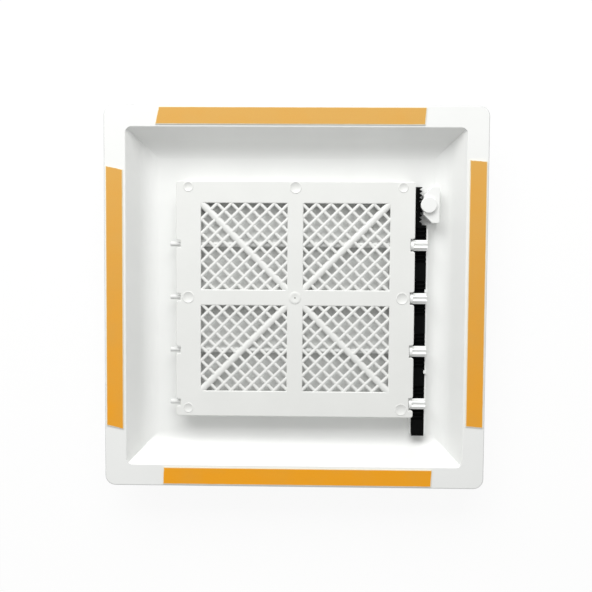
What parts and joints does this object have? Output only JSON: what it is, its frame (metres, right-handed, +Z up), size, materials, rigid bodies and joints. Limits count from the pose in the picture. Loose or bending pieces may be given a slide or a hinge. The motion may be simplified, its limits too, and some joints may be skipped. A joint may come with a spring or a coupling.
{
  "type": "ceiling air diffuser",
  "caption": "Square dished ceiling diffuser with a lattice grille, hinged louvre vanes geared to a sliding rack, and a control knob on the room side.",
  "frame": {"origin": "middle of the square flange, in the ceiling plane, which is the top of the tape liners", "axes": "+Z up into the ceiling, -Z into the room, X along the vanes with the rack and gears at +X, Y across the vanes"},
  "size_m": [0.3556, 0.3556, 0.0412],
  "materials": {
    "pan_abs": "injection-moulded ABS, fine satin",
    "grille_abs": "injection-moulded ABS, satin",
    "vane_abs": "injection-moulded ABS, satin",
    "pinion_acetal": "moulded acetal, slight gloss",
    "rack_acetal": "black moulded acetal",
    "gear_acetal": "moulded acetal, slight gloss",
    "knob_abs": "moulded ABS, semi-gloss",
    "tape_foam": "closed-cell foam with adhesive",
    "liner_paper": "kraft release paper, waxed"
  },
  "bodies": {
    "housing": {"pan_shell": "pan_abs", "back_grille": "grille_abs", "gear_bracket": "pan_abs", "foam_tape_top": "tape_foam", "release_liner_top": "liner_paper", "foam_tape_bottom": "tape_foam", "release_liner_bottom": "liner_paper", "foam_tape_left": "tape_foam", "release_liner_left": "liner_paper", "foam_tape_right": "tape_foam", "release_liner_right": "liner_paper"},
    "rack": {"drive_rack": "rack_acetal"},
    "control": {"control_gear": "gear_acetal", "shaft_cap": "gear_acetal", "control_knob": "knob_abs"},
    "vane_1": {"vane_1": "vane_abs", "vane_pinion_1": "pinion_acetal"},
    "vane_2": {"vane_2": "vane_abs", "vane_pinion_2": "pinion_acetal"},
    "vane_3": {"vane_3": "vane_abs", "vane_pinion_3": "pinion_acetal"},
    "vane_4": {"vane_4": "vane_abs", "vane_pinion_4": "pinion_acetal"}
  },
  "joints": [
    {"name": "knob_turn", "type": "hinge", "parent": "housing", "child": "control", "pos_m": [0.1242, 0.0877, -0.0272], "axis": [0, 0, 1], "range_deg": [0, 58.8]},
    {"name": "rack_slide", "type": "slide", "parent": "housing", "child": "rack", "axis": [0, -1, 0], "range_m": [0, 0.00616]},
    {"name": "vane_1_swing", "type": "hinge", "parent": "housing", "child": "vane_1", "pos_m": [0, 0.05, -0.0152], "axis": [-1, 0, 0], "range_deg": [0, 84.01]},
    {"name": "vane_2_swing", "type": "hinge", "parent": "housing", "child": "vane_2", "pos_m": [0, 0, -0.0152], "axis": [-1, 0, 0], "range_deg": [0, 84.01]},
    {"name": "vane_3_swing", "type": "hinge", "parent": "housing", "child": "vane_3", "pos_m": [0, -0.05, -0.0152], "axis": [-1, 0, 0], "range_deg": [0, 84.01]},
    {"name": "vane_4_swing", "type": "hinge", "parent": "housing", "child": "vane_4", "pos_m": [0, -0.1, -0.0152], "axis": [-1, 0, 0], "range_deg": [0, 84.01]}
  ],
  "couplings": [
    {"joint": "knob_turn", "follows": "rack_slide", "rad_per_m": 166.67},
    {"joint": "vane_1_swing", "follows": "rack_slide", "rad_per_m": 238.1},
    {"joint": "vane_2_swing", "follows": "rack_slide", "rad_per_m": 238.1},
    {"joint": "vane_3_swing", "follows": "rack_slide", "rad_per_m": 238.1},
    {"joint": "vane_4_swing", "follows": "rack_slide", "rad_per_m": 238.1}
  ]
}
